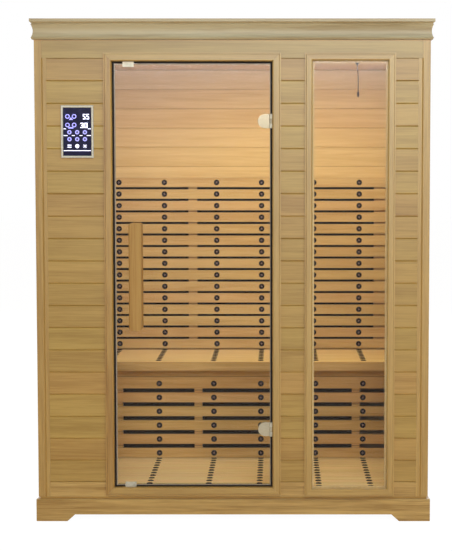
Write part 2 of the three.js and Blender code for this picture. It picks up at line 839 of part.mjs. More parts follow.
function buildRoof(cabin) {
  const roof = addGroup(cabin);
  const ceilingRange = [innerFront + fitGap, innerBack - fitGap];
  const ceilingJoints = jointLevels(innerBack, boardPitch, ceilingRange);
  const ceilingSection = boardedSection(ceilingThickness, ceilingRange, ceilingJoints, []);
  const ceilingOutline = ceilingSection.map(([depth, along]) => [along, ceilingHeight + depth]);
  const ceilingEnd = innerHalf - fitGap;
  const ceiling = extrudeAlong('x', ceilingOutline, [-ceilingEnd, ceilingEnd]);
  addPiece(roof, 'ceiling_panel', 'interiorWood', ceiling);

  const roofBottom = wallTop + fitGap;
  const roofTop = roofBottom + roofThickness;
  const roofHalf = bodyHalf - crownSeat - fitGap;
  const roofDepth = [crownSeat + fitGap, bodyDepth];
  const roofSheet = boxBetween([-roofHalf, roofHalf], roofDepth, [roofBottom, roofTop]);
  addPiece(roof, 'roof_panel', 'exteriorWood', roofSheet);

  const section = crownSection();
  const up = new THREE.Vector3(0, 0, 1);
  const square = () => 0;
  const startMitre = (across) => fitGap - across;
  const endMitre = (across) => across - fitGap;
  const crowns = {
    crown_front: [bodyWidth, startMitre, endMitre, [bodyHalf, 0, roofBottom], [0, -1, 0]],
    crown_left: [bodyDepth, startMitre, square, [-bodyHalf, 0, roofBottom], [-1, 0, 0]],
    crown_right: [bodyDepth, square, endMitre, [bodyHalf, bodyDepth, roofBottom], [1, 0, 0]],
  };
  for (const [name, [length, start, end, origin, outward]] of Object.entries(crowns)) {
    const acrossAxis = new THREE.Vector3(...outward);
    addPiece(roof, name, 'trimWood', mitredBar(section, length, start, end, origin, acrossAxis, up));
  }

  const { width, depth, height } = powerBoxSize;
  const tray = boxBetween([-width / 2, width / 2], [-depth / 2, depth / 2], [0, height]);
  const lidHalf = [width / 2 + powerBoxLid.lip, depth / 2 + powerBoxLid.lip];
  const lidRange = [height - powerBoxLid.height, height];
  const lid = boxBetween([-lidHalf[0], lidHalf[0]], [-lidHalf[1], lidHalf[1]], lidRange);
  const boxPlace = [roofHalf - powerBoxInset.side, bodyDepth - powerBoxInset.back, roofTop + fitGap];
  addPiece(roof, 'power_box', 'paintedSteel', join([tray, lid]), boxPlace);
}

// Bench and slatted fences

function slats(count, gap, lowest, xRange, yRange) {
  const bars = [];
  for (let index = 0; index < count; index += 1) {
    const bottom = lowest + index * (slatHeight + gap);
    bars.push(boxBetween(xRange, yRange, [bottom, bottom + slatHeight]));
  }
  return bars;
}

function battens(middles, width, yRange, zRange) {
  return middles.map((middle) => boxBetween([middle - width / 2, middle + width / 2], yRange, zRange));
}

const fenceHalf = innerHalf - sideGap;
const backFenceBottom = benchHeight + backFenceLift;
const backFenceTop = backFenceBottom + backSlatCount * (slatHeight + backSlatGap) - backSlatGap;
const kickBottom = deckTop + kickLift;
const kickTop = kickBottom + kickSlatCount * (slatHeight + kickSlatGap) - kickSlatGap;

function buildBench(cabin) {
  const bench = addGroup(cabin);
  const seatFront = benchFront + fasciaThickness + fitGap;
  const seatRange = [seatFront, backFenceFront - fitGap];
  const seatJoints = jointLevels(backFenceFront, seatPitch, seatRange);
  const seatSection = boardedSection(seatThickness, seatRange, seatJoints, []);
  const seatOutline = seatSection.map(([depth, along]) => [along, benchHeight - depth]);
  const seatPieces = [extrudeAlong('x', seatOutline, [-fenceHalf, fenceHalf])];
  const cleatFront = kickFront + slatThickness + kickBattenDepth + sideGap;
  for (const side of [-1, 1]) {
    const cleatX = [side * fenceHalf, side * (fenceHalf - cleatWidth)].sort((a, b) => a - b);
    const cleatZ = [seatBottom - cleatHeight, seatBottom + weld];
    seatPieces.push(boxBetween(cleatX, [cleatFront, backFenceFront - cleatWidth], cleatZ));
  }
  addPiece(bench, 'bench_seat', 'interiorWood', join(seatPieces));

  const fasciaY = [benchFront, benchFront + fasciaThickness];
  const fasciaZ = [benchHeight - fasciaHeight, benchHeight];
  addPiece(bench, 'bench_fascia', 'interiorWood', boxBetween([-fenceHalf, fenceHalf], fasciaY, fasciaZ));

  const kickSlatY = [kickFront, kickFront + slatThickness];
  const kickBattenY = [kickSlatY[1] - weld, kickSlatY[1] + kickBattenDepth];
  const kickRailY = [kickSlatY[0] + kickRailSetback, kickSlatY[1]];
  const kickHead = seatBottom - fitGap;
  const endMiddle = fenceHalf - kickBattenWidth / 2;
  const kickMiddles = [...kickBattenCentres, endMiddle].flatMap((middle) => [-middle, middle]);
  const kickPieces = [
    ...slats(kickSlatCount, kickSlatGap, kickBottom, [-fenceHalf, fenceHalf], kickSlatY),
    ...battens(kickMiddles, kickBattenWidth, kickBattenY, [deckTop + fitGap, kickHead]),
    boxBetween([-fenceHalf, fenceHalf], kickRailY, [kickTop - weld, kickHead]),
  ];
  addPiece(bench, 'bench_front_fence', 'interiorWood', join(kickPieces));

  const backSlatY = [backFenceFront, backFenceFront + slatThickness];
  const backBattenY = [backSlatY[1] - weld, innerBack - fitGap];
  const backZ = [backFenceBottom, backFenceTop];
  const endBatten = fenceHalf - backEndBattenWidth / 2;
  const backPieces = [
    ...slats(backSlatCount, backSlatGap, backFenceBottom, [-fenceHalf, fenceHalf], backSlatY),
    ...battens([-backBattenCentre, backBattenCentre], backBattenWidth, backBattenY, backZ),
    ...battens([-endBatten, endBatten], backEndBattenWidth, backBattenY, backZ),
  ];
  addPiece(bench, 'back_fence', 'interiorWood', join(backPieces));
}

// Heaters: flat carbon panels behind the slats

function buildHeaters(cabin) {
  const heaters = addGroup(cabin);
  const backY = [innerBack - heaterEdgeGap - backHeaterThickness, innerBack - heaterEdgeGap];
  const backZ = [backFenceBottom, backFenceTop];
  const centreHalf = backBattenCentre - backBattenWidth / 2 - heaterEdgeGap;
  const sideInner = backBattenCentre + backBattenWidth / 2 + heaterEdgeGap;
  const sideOuter = fenceHalf - backEndBattenWidth - heaterEdgeGap;
  const spans = {
    back_heater_left: [-sideOuter, -sideInner],
    back_heater_centre: [-centreHalf, centreHalf],
    back_heater_right: [sideInner, sideOuter],
  };
  for (const [name, span] of Object.entries(spans)) {
    addPiece(heaters, name, 'heater', boxBetween(span, backY, backZ));
  }
  const calfFront = kickFront + slatThickness + kickBattenDepth + fitGap;
  const calfY = [calfFront, calfFront + calfHeaterThickness];
  const calfZ = [kickBottom + calfHeaterEdge, kickTop - calfHeaterEdge];
  const calfX = [-calfHeaterHalfWidth, calfHeaterHalfWidth];
  addPiece(heaters, 'calf_heater', 'calfHeater', boxBetween(calfX, calfY, calfZ));
}

// Temperature sensor: a gland in the ceiling, a short hanging lead and the probe on its end

function buildSensor(cabin) {
  const sensor = addGroup(cabin, [sensorX, sensorDepth, ceilingHeight - fitGap]);
  const lathe = (profile) => {
    const points = profile.map(([radius, height]) => new THREE.Vector2(radius, height));
    const geometry = new THREE.LatheGeometry(points, leadSides * 2);
    geometry.rotateX(Math.PI / 2);
    return geometry;
  };
  const gland = [
    [0, -glandHeight],
    [glandRadius / 2, -glandHeight],
    [glandRadius, -glandHeight / 2],
    [glandRadius, 0],
    [0, 0],
  ];
  addPiece(sensor, 'sensor_gland', 'rubber', lathe(gland));

  const route = leadRoute.map(([x, y, z]) => new THREE.Vector3(x, y, z));
  const section = new THREE.Shape(
    circlePoints([0, 0], leadDiameter / 2, leadSides).map(([x, y]) => new THREE.Vector2(x, y)),
  );
  const path = new THREE.CatmullRomCurve3(route);
  const sweep = { steps: leadSteps, extrudePath: path, bevelEnabled: false };
  const lead = new THREE.ExtrudeGeometry(section, sweep);
  const leadTop = -glandHeight - fitGap;
  addPiece(sensor, 'sensor_lead', 'cable', lead, [0, 0, leadTop]);

  const [endX, endY, endZ] = leadRoute[leadRoute.length - 1];
  const tip = probeRadius / 2;
  const probe = [
    [0, -probeLength],
    [tip, -probeLength],
    [probeRadius, -probeLength + tip],
    [probeRadius, -tip],
    [tip, 0],
    [0, 0],
  ];
  addPiece(sensor, 'sensor_probe', 'cable', lathe(probe), [endX, endY, leadTop + endZ - fitGap]);
}

// Control panel: a bevelled bezel, a black fascia and nine push keys. The group sits on the wall face.

function buildControls(cabin) {
  const controlX = doorLeft - doorCasingWidth - controlFromCasing - controlWidth / 2;
  const controls = addGroup(cabin, [controlX, -fitGap, controlMiddleHeight]);
  const halfWidth = controlWidth / 2;
  const halfHeight = controlHeight / 2;
  const bezelSection = [
    [0, 0],
    [bezelWidth, 0],
    [bezelWidth, bezelProud - bezelBevel],
    [bezelWidth - bezelBevel, bezelProud],
    [bezelBevel, bezelProud],
    [0, bezelProud - bezelBevel],
  ];
  const bezel = mitredFrame(bezelSection, [-halfWidth, halfWidth], [-halfHeight, halfHeight], 0);
  addPiece(controls, 'control_bezel', 'silver', bezel);

  const keyPlaces = [];
  for (let row = 0; row < keyRows; row += 1) {
    for (let column = 0; column < keyColumns; column += 1) {
      const x = (column - (keyColumns - 1) / 2) * keyColumnPitch;
      const z = (keyRows - 1 - row) * keyRowPitch - keyBottomRow;
      keyPlaces.push([x, z]);
    }
  }
  const fasciaHalf = [halfWidth - bezelWidth - fitGap, halfHeight - bezelWidth - fitGap];
  const fasciaOutline = rectanglePoints([-fasciaHalf[0], fasciaHalf[0]], [-fasciaHalf[1], fasciaHalf[1]]);
  const keyHoles = keyPlaces.map((place) => circlePoints(place, keyRadius + keyClearance, keySides));
  const fascia = piercedSheet(fasciaOutline, [-fasciaProud, 0], keyHoles);
  addPiece(controls, 'control_fascia', 'blackGloss', fascia);

  const keyFront = -fasciaProud - keyProud;
  const keyBack = -keyTravel - keyClearance;
  const keyShape = extrudeAlong('y', circlePoints([0, 0], keyRadius, keySides), [keyFront, keyBack]);
  keyPlaces.forEach(([x, z], index) => {
    addPiece(controls, `key_${index + 1}`, 'key', keyShape, [x, 0, z]);
  });
}

const cabin = new THREE.Group();
cabin.position.set(0, -depthMiddle, 0);
buildBase(cabin);
buildWalls(cabin);
buildFrontWall(cabin);
buildCasings(cabin);
buildWindow(cabin);
buildDoor(cabin);
buildRoof(cabin);
buildBench(cabin);
buildHeaters(cabin);
buildSensor(cabin);
buildControls(cabin);

export default cabin;
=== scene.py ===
"""Infrared sauna cabin: camera, light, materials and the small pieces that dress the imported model.

Metres. X runs to the right seen from the front, Y from the front to the back, Z up, as in the model.
"""

import math

import bmesh
import bpy
from mathutils import Matrix, Vector


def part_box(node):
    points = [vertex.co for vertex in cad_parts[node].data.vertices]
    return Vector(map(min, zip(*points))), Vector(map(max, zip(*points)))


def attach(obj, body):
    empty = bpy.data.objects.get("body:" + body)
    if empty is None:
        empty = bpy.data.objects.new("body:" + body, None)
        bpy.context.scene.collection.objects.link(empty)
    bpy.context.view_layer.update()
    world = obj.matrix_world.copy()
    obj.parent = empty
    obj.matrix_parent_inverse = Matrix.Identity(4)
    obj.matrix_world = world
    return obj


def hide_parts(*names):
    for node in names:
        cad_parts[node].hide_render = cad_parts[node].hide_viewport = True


MM = 0.001
AXES = "xyz"
RIGHT, UP = Vector((1, 0, 0)), Vector((0, 0, 1))
FORWARD, BACKWARD = Vector((0, -1, 0)), Vector((0, 1, 0))

# Photograph and camera, found from the board joints and the screw rows
IMAGE_HEIGHT = 551
FOCAL_PIXELS = 1545.45
SENSOR_MM = 36.0
EYE = Vector((0.1665, -6.3346, 1.3691))
TILT_DEGREES = 4.1166
PICTURE_SHIFT = (50.88, -2.92)  # of the optical axis in the picture, in pixels, right and down
VIEW_REACH = 100

# Woodwork of the model: front wall face, board joints and slats
WALL_FACE = -0.514
INSIDE_JOINT = WALL_FACE + 1.019
BOARD_PITCH = 84.5 * MM
BOTTOM_RAIL_TOP = 149 * MM
CEILING = 1769 * MM
DECK_PITCH = 51 * MM
BACK_SLAT_PITCH = 51 * MM
KICK_SLAT_PITCH = 59 * MM
KICK_LIFT = 2 * MM  # of the lowest kick slat above the deck
SLAT_HEIGHT = 41 * MM

# Screws with cup washers, in columns over every slat; the cups' dark brown is partly painted shade of the
# counterbored screw holes
BACK_SLATS = 15
KICK_SLATS = 6
SEAT_ROWS = 8
DECK_ROWS = 12
SCREW_COLUMNS = [side * offset * MM for offset in (99, 329, 529) for side in (-1, 1)]
WASHER_SIDES = 18
WASHER_MARGIN = 12 * MM  # least distance of a screw row from the deck's front edge
WASHER_PROFILE_MM = [  # radius and height, from the rim to the top of the screw head
    (12.2, 0),
    (11.4, 1.4),
    (8.6, 2.6),
    (5.2, 0.5),
    (4.2, 0.3),
    (3.8, 0.9),
    (2.6, 1.4),
]
WASHER_HEAD_RADIUS = 4.0 * MM

# Temperature sensor: the lead's route below its gland, as in the model
GLAND_FOOT = Vector((0.490, WALL_FACE + 0.440, 1.7564))
LEAD_ROUTE_MM = [
    (0, 0, 0),
    (0.4, 0, -9),
    (1.6, 0, -20),
    (3, 0, -34),
    (3.6, 0, -50),
    (3.8, 0, -70),
    (3.8, 0, -90),
    (3.8, 0, -107),
]
LEAD_DIAMETER = 3.5 * MM
LEAD_POINTS = 24
LEAD_ROUNDNESS = 4

# Polished edge of the door glass, a painted highlight: widths of the pale strip and its height above the
# glass
EDGE_LEFT, EDGE_RIGHT = 4.5 * MM, 2.0 * MM
EDGE_BOTTOM, EDGE_TOP = 3.0 * MM, 1.5 * MM
EDGE_LIFT = 0.15 * MM

# Display: symbols just in front of the fascia, placed in millimetres from its middle
DISPLAY_LIFT = 0.25 * MM
SYMBOL_THICKNESS = 0.35 * MM
RING_SIDES = 24
WHITE_PART, VIOLET_PART = 0, 1
DIGIT_ROWS = [  # characters, their left edges, their foot, width, height and stroke
    ("55", (22, 35), 46, 10, 20, 3.4),
    ("30", (12, 27), 14, 12, 19, 3.6),
]
DIGIT_SEGMENTS = {
    "0": "abcdef",
    "3": "abgcd",
    "5": "afgcd",
}
RING_PLACES = [(-36, 57), (-11, 57), (-36, 25), (-11, 25)]
RING_RADII = (8.5 * MM, 5.4 * MM)
POINTER = [(-31, 44), (-15, 44), (-23, 54)]
LINK_BAR = (-33, 12, -14, 17)
LINE_HEIGHT = 2.4
LINE_END = 51
LINES = [  # foot of each line and the stretches it is broken into
    (9.4, [(-LINE_END, -42), (40, LINE_END)]),
    (-15.6, [(-LINE_END, -36), (-20, -9), (9, 20), (36, LINE_END)]),
    (-72, [(-LINE_END, LINE_END)]),
]

# Marks on the keys: rings on the first six, then bars, a disc and a cross
KEYS = 9
RING_KEYS = 6
BAR_KEY, DISC_KEY = 7, 8
KEY_RING_RADII = (7.6 * MM, 4.4 * MM)
KEY_DISC_RADII = (7.2 * MM, 1.2 * MM)
KEY_BAR_FEET = (-5.2, 2.4)
KEY_BAR_HALF, KEY_BAR_HEIGHT = 7.5, 2.8
CROSS_HALF, CROSS_HALF_STROKE = 7, 1.3
CROSS_TURNS = (45, 135)

# Softened edges
EDGE_SEGMENTS = 2
EDGE_ANGLE = math.radians(40)
CASING_EDGE = 1.5 * MM
PLINTH_EDGE = 1.5 * MM
SLAT_EDGE = 1.2 * MM
HANDLE_EDGE, HANDLE_SEGMENTS = 2.0 * MM, 3
PLATE_EDGE = 0.6 * MM
BEZEL_EDGE = 0.5 * MM
BOX_EDGE = 2 * MM

# Wood: noise along and across the grain, tones, board joints and gloss
GRAIN_ALONG, GRAIN_ACROSS = 1.1, 30.0
BROAD_NOISE = {"scale": 1.0, "detail": 5.0, "roughness": 0.6, "distortion": 0.6}
FINE_NOISE = {"scale": 6.5, "detail": 3.0, "roughness": 0.65}
BROAD_SHARE = 0.62
DARK_STOP, MIDDLE_STOP, LIGHT_STOP = 0.38, 0.48, 0.58
HUE_SPREAD = 0.005
JOINT_REACH, JOINT_CORE = 2.4 * MM, 0.7 * MM
COAT_ROUGHNESS = 0.42
WOOD_GLOSS_SPREAD = 0.16
GRAIN_BUMP, GRAIN_DEPTH = 0.18, 0.6 * MM
OUTSIDE_FINISH = {"roughness": 0.46, "lacquer": 0.55}
TRIM_FINISH = {"roughness": 0.44, "lacquer": 0.6}
CROWN_FINISH = {"roughness": 0.44, "lacquer": 0.25}
HANDLE_FINISH = {"sheen": 0.15}
INSIDE_FINISH = {"variation": 0.03, "joint_shade": 0.5}
BACK_FINISH = {"variation": 0.012, "joint_shade": 0.9}

# Other surfaces
MOTTLE_STOPS = (0.35, 0.65)
MOTTLE_GLOSS_SPREAD = 0.15
MOTTLE_DEPTH = 0.4 * MM
LEAST_ROUGHNESS = 0.02
BRUSHED = (1, 1, 14)
GLOW_NOISE = {"scale": 300.0, "detail": 2.0}
GLOW_STOPS = (0.3, 0.6)
GLOW_DIMMER = 0.8
GLOW_ROUGHNESS = 0.4
WHITE_GLOW, VIOLET_GLOW = 1.6, 1.0
GLASS_NOISE = {"scale": 1.5, "detail": 2.0}
GLASS_STOPS = (0.3, 0.7)
GLASS_ROUGHNESS = 0.15
GLASS_MIRRORED_SHARE = 0.009

# Studio floor and surround
FLOOR_REACH = 30
FLOOR_DROP = 0.5 * MM
FLOOR_TONES = ((0.94, 0.94, 0.94, 1), (0.90, 0.90, 0.90, 1))
FLOOR_NOISE = {"scale": 3.0, "detail": 2.0}
FLOOR_STOPS = (0.3, 0.7)
FLOOR_ROUGHNESS = 0.9
FLOOR_GLOW, FLOOR_GLOW_SHARE = 1.08, 0.9
AMBIENT_COLOUR, AMBIENT_STRENGTH = (1.0, 0.88, 0.70, 1), 0.20
SURROUND_COLOUR, SURROUND_STRENGTH = (1, 1, 1, 1), 1.0

# Lamps: name, place, target, size, power in watts and colour
WHITE_LIGHT = (1.0, 1.0, 1.0)
SKY_LIGHT = (0.15, 0.56, 1.0)
COOL_LIGHT = (0.54, 0.66, 1.0)
WARM_LIGHT = (1.0, 0.93, 0.36)
FRONT_TARGET = (0, -0.5, 1.3)
BODY_MIDDLE = (0, 0, 1)
SOFTBOX_SIZE = (5.2, 2.0)
WALL_LAMP_SIZE = (0.42, 0.2)
FILL_SIZE, FILL_POWER = (3, 2), 130
LAMPS = [
    ("softbox", (1.1, -7.0, 3.15), FRONT_TARGET, SOFTBOX_SIZE, 240, WHITE_LIGHT),
    ("sheen_card", (1.1, -6.9, 3.15), FRONT_TARGET, SOFTBOX_SIZE, 480, WHITE_LIGHT),
    ("top_light", (0.5, -2.2, 3.3), (0.2, -0.5, 1.7), (3.0, 0.5), 38, SKY_LIGHT),
    ("left_wall_lamp", (-0.47, -0.30, 1.67), (-0.47, 0.5, 1.75), WALL_LAMP_SIZE, 2.75, COOL_LIGHT),
    ("right_wall_lamp", (0.46, -0.30, 1.67), (0.46, 0.5, 1.75), WALL_LAMP_SIZE, 2.5, COOL_LIGHT),
    ("seat_lamp", (0.31, -0.24, 1.755), (0.33, -0.15, 0), (0.8, 0.36), 6.2, WARM_LIGHT),
    ("left_fill", (-6, 1.5, 3), BODY_MIDDLE, FILL_SIZE, FILL_POWER, WHITE_LIGHT),
    ("right_fill", (6, 1.5, 3), BODY_MIDDLE, FILL_SIZE, FILL_POWER, WHITE_LIGHT),
    ("back_fill", (0, 7, 3), BODY_MIDDLE, FILL_SIZE, FILL_POWER, WHITE_LIGHT),
]
GLOSS_ONLY_LAMP = "sheen_card"


# Colours, each as a light and a dark tone


def linear(red, green, blue):
    """A colour written as 0 to 255 screen values, as a linear colour."""

    def channel(value):
        share = value / 255
        return share / 12.92 if share <= 0.04045 else ((share + 0.055) / 1.055) ** 2.4

    return (channel(red), channel(green), channel(blue), 1.0)


OUTSIDE_TONES = (linear(176, 134, 59), linear(152, 110, 37))
POST_TONES = (linear(183, 140, 70), linear(159, 116, 49))
PLINTH_TONES = (linear(193, 150, 79), linear(149, 106, 39))
TOP_RAIL_TONES = (linear(167, 130, 60), linear(145, 108, 41))
TRIM_TONES = (linear(181, 140, 71), linear(158, 116, 49))
# Left door casing: darker than the other trim as painted shade, the light falling from the right
LEFT_CASING_SHADED_TONES = (linear(174, 129, 58), linear(145, 99, 32))
# Crown: the wood's own tone, made paler and greyer by painted sheen that stands in for lacquer gloss
CROWN_AND_SHEEN_TONES = (linear(185, 157, 112), linear(159, 129, 85))
HANDLE_TONES = (linear(178, 131, 66), linear(160, 111, 49))
INSIDE_TONES = (linear(220, 185, 125), linear(206, 167, 106))
PALE_TONES = (linear(241, 207, 150), linear(224, 186, 128))
FENCE_TONES = (linear(205, 168, 110), linear(187, 147, 89))
# Seat fascia and kick fence: the inside wood made darker as painted shade under the seat
FASCIA_SHADED_TONES = (linear(199, 157, 94), linear(176, 133, 68))
KICK_SHADED_TONES = (linear(208, 166, 99), linear(184, 140, 71))
RUBBER_TONES = (linear(38, 29, 23), linear(26, 18, 13))
# Hinge clamp steel: its own grey, warmed by a painted reflection of the surrounding wood
STEEL_AND_REFLECTION_TONES = (linear(186, 171, 142), linear(164, 149, 120))
STRIKE_TONES = (linear(188, 177, 154), linear(164, 153, 130))
HEATER_TONES = (linear(24, 19, 11), linear(17, 13, 7))
CALF_HEATER_TONES = (linear(56, 43, 24), linear(44, 33, 17))
PAINTED_TONES = (linear(164, 166, 169), linear(150, 152, 155))
SILVER_TONES = (linear(208, 193, 165), linear(192, 176, 148))
BLACK_TONES = (linear(28, 25, 58), linear(20, 17, 44))
KEY_TONES = (linear(38, 33, 80), linear(28, 24, 62))
PROBE_TONES = (linear(26, 15, 9), linear(16, 8, 4))
CABLE_TONES = (linear(36, 19, 11), linear(26, 12, 6))
# Cup washers: dark brown, partly painted shade of the counterbored screw holes
WASHER_AND_SHADE_TONES = (linear(32, 19, 11), linear(22, 12, 6))
SCREW_TONES = (linear(112, 84, 74), linear(96, 70, 62))
# Pale strip on the door glass: a painted highlight of its polished edge
EDGE_HIGHLIGHT_TONES = (linear(168, 148, 124), linear(150, 130, 106))
GLASS_TONES = (linear(250, 252, 255), linear(240, 246, 255))
LIT_WHITE = linear(236, 230, 255)
LIT_VIOLET = linear(158, 150, 246)


# Materials


class Graph:
    """A material's node graph with short calls for adding and linking nodes."""

    def __init__(self, name):
        self.material = bpy.data.materials.new(name)
        self.material.use_nodes = True
        self.tree = self.material.node_tree
        self.shader = self.tree.nodes["Principled BSDF"]

    def node(self, kind, **settings):
        made = self.tree.nodes.new(kind)
        for key, value in settings.items():
            setattr(made, key, value)
        return made

    def link(self, source, target):
        self.tree.links.new(source, target)

    def set(self, **values):
        """Sets shader inputs, with an underscore for each space in their names."""
        for key, value in values.items():
            self.shader.inputs[key.replace("_", " ")].default_value = value

    def coordinates(self):
        return self.node("ShaderNodeTexCoord").outputs["Object"]

    def stretched(self, vector, scale):
        made = self.node("ShaderNodeMapping")
        made.inputs["Scale"].default_value = scale
        self.link(vector, made.inputs["Vector"])
        return made.outputs[0]

    def math(self, operation, first, second=None):
        made = self.node("ShaderNodeMath", operation=operation)
        for index, value in enumerate((first, second)):
            if value is None:
                continue
            if isinstance(value, (int, float)):
                made.inputs[index].default_value = value
            else:
                self.link(value, made.inputs[index])
        return made.outputs[0]

    def noise(self, vector, scale, detail=4.0, roughness=0.55, distortion=0.0):
        made = self.node("ShaderNodeTexNoise")
        made.inputs["Scale"].default_value = scale
        made.inputs["Detail"].default_value = detail
        made.inputs["Roughness"].default_value = roughness
        made.inputs["Distortion"].default_value = distortion
        self.link(vector, made.inputs["Vector"])
        return made.outputs["Fac"]

    def ramp(self, factor, stops):
        made = self.node("ShaderNodeValToRGB")
        elements = made.color_ramp.elements
        elements[0].position, elements[0].color = stops[0]
        elements[1].position, elements[1].color = stops[-1]
        for position, colour in stops[1:-1]:
            elements.new(position).color = colour
        self.link(factor, made.inputs["Fac"])
        return made.outputs["Color"]

    def span(self, value, low, high, new_low, new_high):
        """A value carried from one range to another, held at the ends."""
        made = self.node("ShaderNodeMapRange")
        for index, setting in enumerate((low, high, new_low, new_high), 1):
            made.inputs[index].default_value = setting
        self.link(value, made.inputs[0])
        return made.outputs[0]

    def gloss(self, pattern, spread, least):
        """Roughness that follows a pattern upwards from a least value."""
        rough = self.math("ADD", self.math("MULTIPLY", pattern, spread), least)
        self.link(rough, self.shader.inputs["Roughness"])

    def bump(self, height, strength, distance):
        made = self.node("ShaderNodeBump")
        made.inputs["Strength"].default_value = strength
        made.inputs["Distance"].default_value = distance
        self.link(height, made.inputs["Height"])
        self.link(made.outputs["Normal"], self.shader.inputs["Normal"])


def wood(name, tones, grain, boards=None, variation=0.05, joint_shade=1.0, roughness=0.52, sheen=0.1,
         lacquer=0.0):
    """Planed softwood with long grain along one axis. boards is (axis, pitch, first joint): every board
    then has its own tone and its own stretch of grain, and its joints are darker by joint_shade.
    lacquer is the weight of a clear satin coat."""
    light, dark = tones
    graph = Graph(name)
    coordinates = graph.coordinates()
    vector = coordinates
    if boards:
        axis, pitch, joint = boards
        parts = graph.node("ShaderNodeSeparateXYZ")
        graph.link(coordinates, parts.inputs[0])
        place = graph.math("DIVIDE", graph.math("SUBTRACT", parts.outputs[AXES.index(axis)], joint), pitch)
        random = graph.node("ShaderNodeTexWhiteNoise", noise_dimensions="1D")
        graph.link(graph.math("FLOOR", place), random.inputs["W"])
        shifted = graph.node("ShaderNodeVectorMath", operation="ADD")
        graph.link(coordinates, shifted.inputs[0])
        graph.link(random.outputs["Color"], shifted.inputs[1])
        vector = shifted.outputs[0]
        from_middle = graph.math("ABSOLUTE", graph.math("SUBTRACT", graph.math("FRACT", place), 0.5))
    scale = [GRAIN_ALONG if direction == grain else GRAIN_ACROSS for direction in AXES]
    stretched = graph.stretched(vector, scale)
    broad = graph.noise(stretched, **BROAD_NOISE)
    fine = graph.noise(stretched, **FINE_NOISE)
    broad_part = graph.math("MULTIPLY", broad, BROAD_SHARE)
    mixed = graph.math("ADD", broad_part, graph.math("MULTIPLY", fine, 1 - BROAD_SHARE))
    middle = tuple((first + second) / 2 for first, second in zip(light, dark))
    colour = graph.ramp(mixed, [(DARK_STOP, dark), (MIDDLE_STOP, middle), (LIGHT_STOP, light)])
    if boards:
        tint = graph.node("ShaderNodeSeparateColor")
        graph.link(random.outputs["Color"], tint.inputs[0])
        shade = graph.node("ShaderNodeHueSaturation")
        hue = graph.span(tint.outputs[0], 0, 1, 0.5 - HUE_SPREAD, 0.5 + HUE_SPREAD)
        tone = graph.span(tint.outputs[1], 0, 1, 1 - variation, 1 + variation)
        joint_edge, joint_middle = (0.5 - reach / pitch for reach in (JOINT_REACH, JOINT_CORE))
        line = graph.span(from_middle, joint_edge, joint_middle, 1, joint_shade)
        graph.link(hue, shade.inputs["Hue"])
        graph.link(graph.math("MULTIPLY", tone, line), shade.inputs["Value"])
        graph.link(colour, shade.inputs["Color"])
        colour = shade.outputs["Color"]
    graph.link(colour, graph.shader.inputs["Base Color"])
    graph.set(Specular_IOR_Level=sheen, Coat_Weight=lacquer, Coat_Roughness=COAT_ROUGHNESS)
    graph.gloss(fine, WOOD_GLOSS_SPREAD, roughness - WOOD_GLOSS_SPREAD / 2)
    graph.bump(fine, GRAIN_BUMP, GRAIN_DEPTH)
    return graph.material


def two_tone(graph, pattern, stops, tones):
    """A colour that follows a pattern from the dark tone to the light one."""
    light, dark = tones
    return graph.ramp(pattern, [(stops[0], dark), (stops[1], light)])


def mottled(name, tones, scale, roughness, metallic=0.0, specular=0.5, bump=0.05, stretch=(1, 1, 1)):
    """A moulded, painted or metal surface with slight variation of tone and gloss."""
    graph = Graph(name)
    grain = graph.noise(graph.stretched(graph.coordinates(), stretch), scale)
    graph.link(two_tone(graph, grain, MOTTLE_STOPS, tones), graph.shader.inputs["Base Color"])
    graph.gloss(grain, MOTTLE_GLOSS_SPREAD, max(roughness - MOTTLE_GLOSS_SPREAD / 2, LEAST_ROUGHNESS))
    graph.set(Metallic=metallic, Specular_IOR_Level=specular)
    graph.bump(grain, bump, MOTTLE_DEPTH)
    return graph.material


def glowing(name, colour, strength):
    """A lit symbol on the display, a little uneven like a printed light guide."""
    graph = Graph(name)
    uneven = graph.noise(graph.coordinates(), **GLOW_NOISE)
    dimmer = tuple(GLOW_DIMMER * value for value in colour[:3]) + (1.0,)
    shade = two_tone(graph, uneven, GLOW_STOPS, (colour, dimmer))
    graph.link(shade, graph.shader.inputs["Emission Color"])
    graph.link(shade, graph.shader.inputs["Base Color"])
    graph.set(Roughness=GLOW_ROUGHNESS, Emission_Strength=strength)
    return graph.material


def clear_glass(name):
    """Clear flat glass: a small share of the light is mirrored, the rest passes straight through."""
    graph = Graph(name)
    cloud = graph.noise(graph.coordinates(), **GLASS_NOISE)
    graph.link(two_tone(graph, cloud, GLASS_STOPS, GLASS_TONES), graph.shader.inputs["Base Color"])
    graph.set(Metallic=1.0, Roughness=GLASS_ROUGHNESS, Alpha=GLASS_MIRRORED_SHARE)
    return graph.material


def paint(nodes, material):
    for name in nodes:
        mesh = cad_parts[name].data
        mesh.materials.clear()
        mesh.materials.append(material)


def paint_surround(name, upright, level):
    """Paints a one-piece surround so that the grain runs along each of its four members."""
    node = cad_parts[name]
    paint([name], upright)
    node.data.materials.append(level)
    low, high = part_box(name)
    for face in node.data.polygons:
        centre = node.matrix_world @ face.center
        from_side = min(centre.x - low.x, high.x - centre.x)
        from_end = min(centre.z - low.z, high.z - centre.z)
        face.material_index = 1 if from_end < from_side else 0


def soften(nodes, width, segments=EDGE_SEGMENTS):
    """Takes the sharpness off the edges of model nodes."""
    for name in nodes:
        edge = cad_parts[name].modifiers.new("edge", "BEVEL")
        edge.width = width
        edge.segments = segments
        edge.limit_method = "ANGLE"
        edge.angle_limit = EDGE_ANGLE
        edge.harden_normals = False


# Mesh pieces


